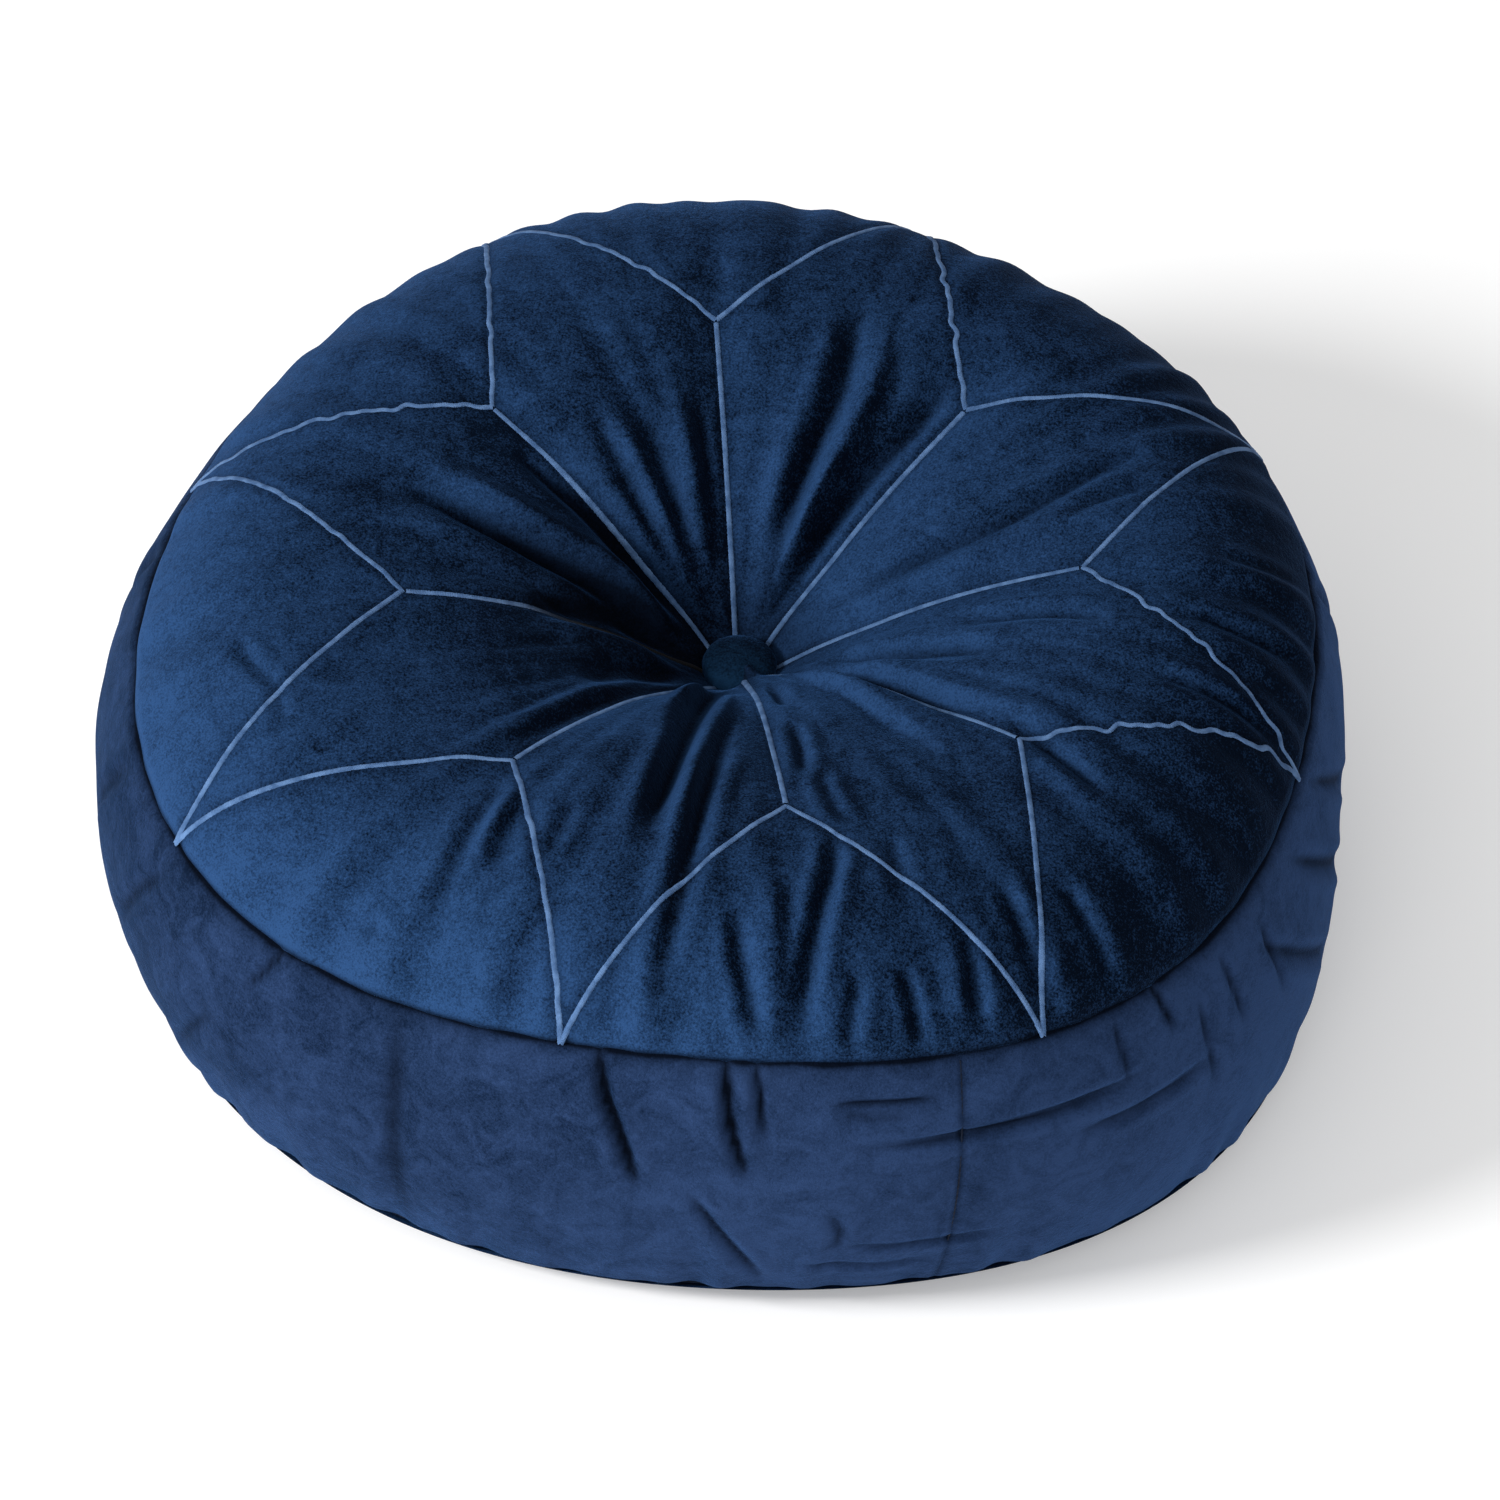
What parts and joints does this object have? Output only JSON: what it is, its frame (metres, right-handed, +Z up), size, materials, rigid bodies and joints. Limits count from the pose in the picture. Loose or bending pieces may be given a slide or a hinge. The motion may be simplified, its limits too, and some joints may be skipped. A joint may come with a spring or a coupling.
{
  "type": "floor cushion",
  "caption": "Low round boxed floor cushion in navy velvet with an embroidered star and a tufted centre button.",
  "frame": {"origin": "on the floor under the middle of the cushion", "axes": "+Z up through the two buttons; -Y is the front, the side that the picture shows"},
  "size_m": [0.6392, 0.6392, 0.22],
  "materials": {
    "top_velvet": "navy velvet, crushed in places",
    "band_velvet": "navy velvet, nap lying down the side",
    "base_velvet": "navy velvet",
    "button_velvet": "navy velvet stretched over a dome",
    "embroidery": "satin stitch in light blue thread",
    "seam_thread": "navy sewing thread",
    "liner_cloth": "white non-woven cloth",
    "filling": "white polyester fibre",
    "twine": "waxed upholstery twine",
    "zip_nylon": "nylon coil",
    "zip_tape": "woven tape",
    "zip_metal": "dark lacquered metal",
    "button_shell": "pressed",
    "button_back": "moulded",
    "button_eye": "wire"
  },
  "bodies": {
    "cushion": {"top_panel": "top_velvet", "band_panel_left": "band_velvet", "band_panel_right": "band_velvet", "base_panel": "base_velvet", "star_spokes": "embroidery", "star_points": "embroidery", "top_seam_thread": "seam_thread", "base_seam_thread": "seam_thread", "band_join_threads": "seam_thread", "liner_top": "liner_cloth", "liner_band": "liner_cloth", "liner_base": "liner_cloth", "fibre_filling": "filling", "tufting_twine": "twine", "zip_coil_upper": "zip_nylon", "zip_coil_lower": "zip_nylon", "zip_tape_upper": "zip_tape", "zip_tape_lower": "zip_tape", "zip_stop_start": "zip_metal", "zip_stop_end": "zip_metal"},
    "top_button": {"top_button_cover": "button_velvet", "top_button_shell": "button_shell", "top_button_back": "button_back", "top_button_eye": "button_eye"},
    "base_button": {"base_button_cover": "button_velvet", "base_button_shell": "button_shell", "base_button_back": "button_back", "base_button_eye": "button_eye"},
    "slider": {"zip_slider": "zip_metal"},
    "pull": {"zip_pull": "zip_metal"}
  },
  "joints": [
    {"name": "top_button_swivel", "type": "hinge", "parent": "cushion", "child": "top_button", "pos_m": [0, 0, 0.143], "axis": [0, 0, 1], "range_deg": [-40, 40], "stiffness_Nm_per_rad": 0.0005},
    {"name": "base_button_swivel", "type": "hinge", "parent": "cushion", "child": "base_button", "pos_m": [0, 0, 0.024], "axis": [0, 0, 1], "range_deg": [-40, 40], "stiffness_Nm_per_rad": 0.0005},
    {"name": "zip_slider_travel", "type": "hinge", "parent": "cushion", "child": "slider", "pos_m": [0, 0, 0.014], "axis": [0, 0, 1], "range_deg": [0, 68]},
    {"name": "zip_pull_flip", "type": "hinge", "parent": "slider", "child": "pull", "pos_m": [0.27899, 0.12891, 0.01376], "axis": [-0.5447, -0.2517, -0.8], "range_deg": [0, 170]}
  ]
}
